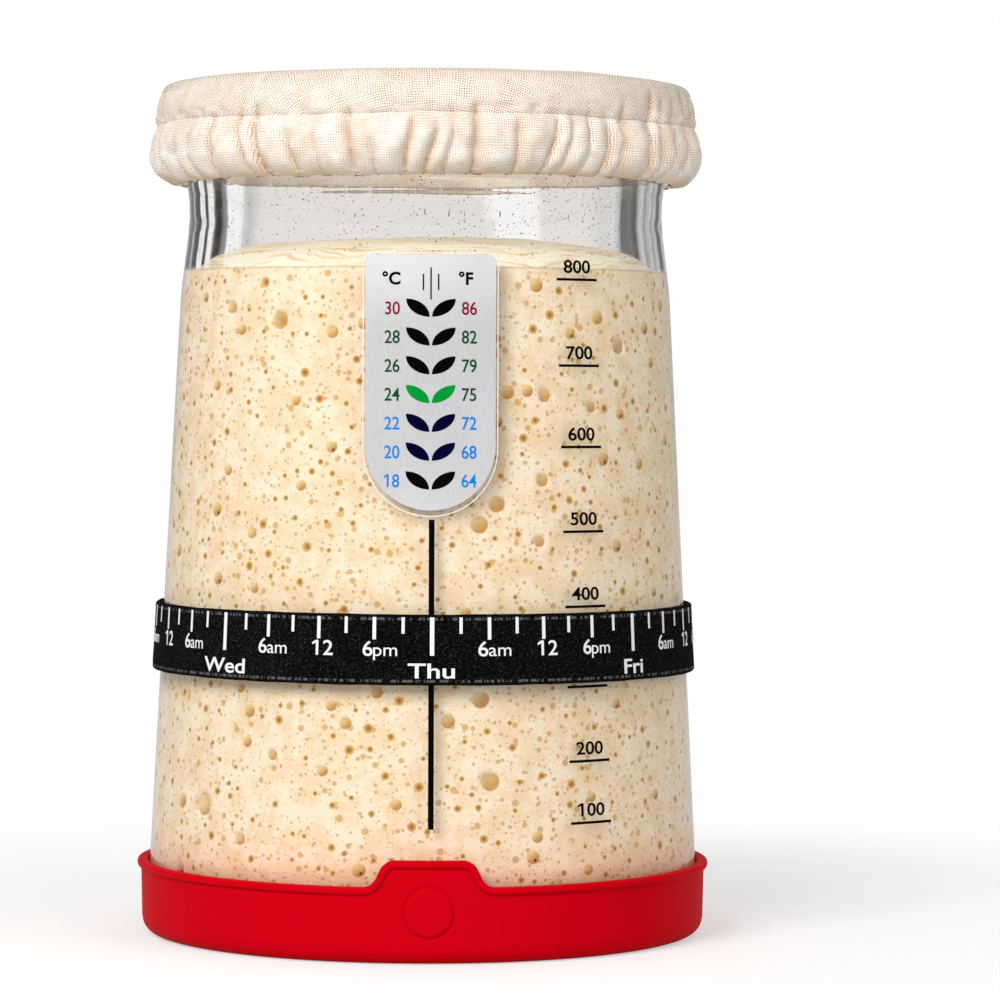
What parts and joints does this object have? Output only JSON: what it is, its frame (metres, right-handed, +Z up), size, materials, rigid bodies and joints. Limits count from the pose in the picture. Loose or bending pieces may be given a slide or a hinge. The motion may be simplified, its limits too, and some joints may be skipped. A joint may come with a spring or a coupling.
{
  "type": "sourdough starter jar",
  "caption": "Tapered glass sourdough starter jar in a silicone boot, with a gathered cloth cover, a leaf thermometer strip and a feeding band that turns.",
  "frame": {"origin": "centre of the silicone boot's underside, on the surface that the jar stands on", "axes": "+Z up along the jar's axis, -Y towards the front with the pull tab and thermometer, +X to the right seen from the front"},
  "size_m": [0.111, 0.111, 0.1649],
  "materials": {
    "boot_silicone": "satin red silicone",
    "jar_glass": "clear soda-lime glass with printed black marks",
    "starter": "risen flour and water starter, full of bubbles",
    "clear_film": "clear gloss carrier film",
    "silver_face": "silvered printed film",
    "cell_dark": "dark liquid crystal",
    "cell_navy": "dark blue liquid crystal",
    "cell_green": "bright green liquid crystal",
    "band_elastic": "black woven elastic with a white printed week scale",
    "cover_cloth": "unbleached cotton muslin",
    "cover_elastic": "white braided elastic"
  },
  "bodies": {
    "boot": {"silicone_boot": "boot_silicone"},
    "jar": {"glass_jar": "jar_glass", "sourdough_starter": "starter", "thermometer_film": "clear_film", "thermometer_face": "silver_face", "cell_18c": "cell_dark", "cell_20c": "cell_navy", "cell_22c": "cell_navy", "cell_24c": "cell_green", "cell_26c": "cell_dark", "cell_28c": "cell_dark", "cell_30c": "cell_dark"},
    "band": {"feeding_band": "band_elastic"},
    "cover": {"cover_crown": "cover_cloth", "cover_hem": "cover_cloth", "cover_elastic": "cover_elastic"}
  },
  "joints": [
    {"name": "jar_lift", "type": "slide", "parent": "boot", "child": "jar", "axis": [0, 0, 1], "range_m": [0, 0.04]},
    {"name": "band_turn", "type": "hinge", "parent": "jar", "child": "band", "pos_m": [0, 0, 0.0576], "axis": [0, 0, 1], "continuous": true},
    {"name": "cover_lift", "type": "slide", "parent": "jar", "child": "cover", "axis": [0, 0, 1], "range_m": [0, 0.06], "deforming": ["cover_hem", "cover_elastic"]}
  ]
}
